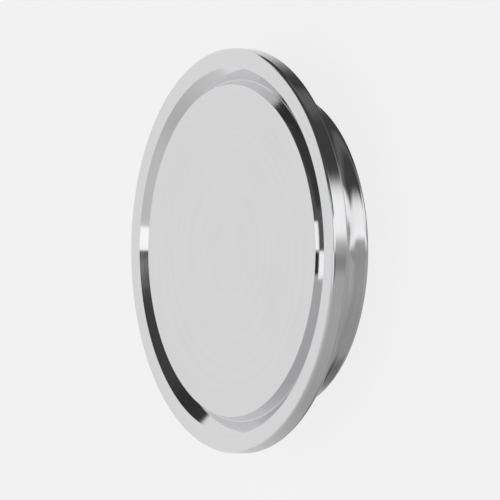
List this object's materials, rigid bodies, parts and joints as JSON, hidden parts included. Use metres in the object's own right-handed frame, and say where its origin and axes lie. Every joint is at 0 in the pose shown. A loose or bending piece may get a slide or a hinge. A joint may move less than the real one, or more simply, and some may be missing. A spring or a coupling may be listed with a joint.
{
  "type": "sanitary clamp end cap",
  "caption": "Solid stainless end cap for a sanitary clamp fitting: round bevelled flange with a gasket groove in its flat face and a low boss behind.",
  "frame": {"origin": "centre of the boss's flat back face, on the cap's axis", "axes": "+Z along the cap's axis, out of the sealing face; X and Y are any two radii"},
  "size_m": [0.0506, 0.0506, 0.0088],
  "materials": {
    "stainless_steel": "fine turned and polished stainless steel"
  },
  "bodies": {
    "root": {"end_cap": "stainless_steel"}
  },
  "joints": []
}
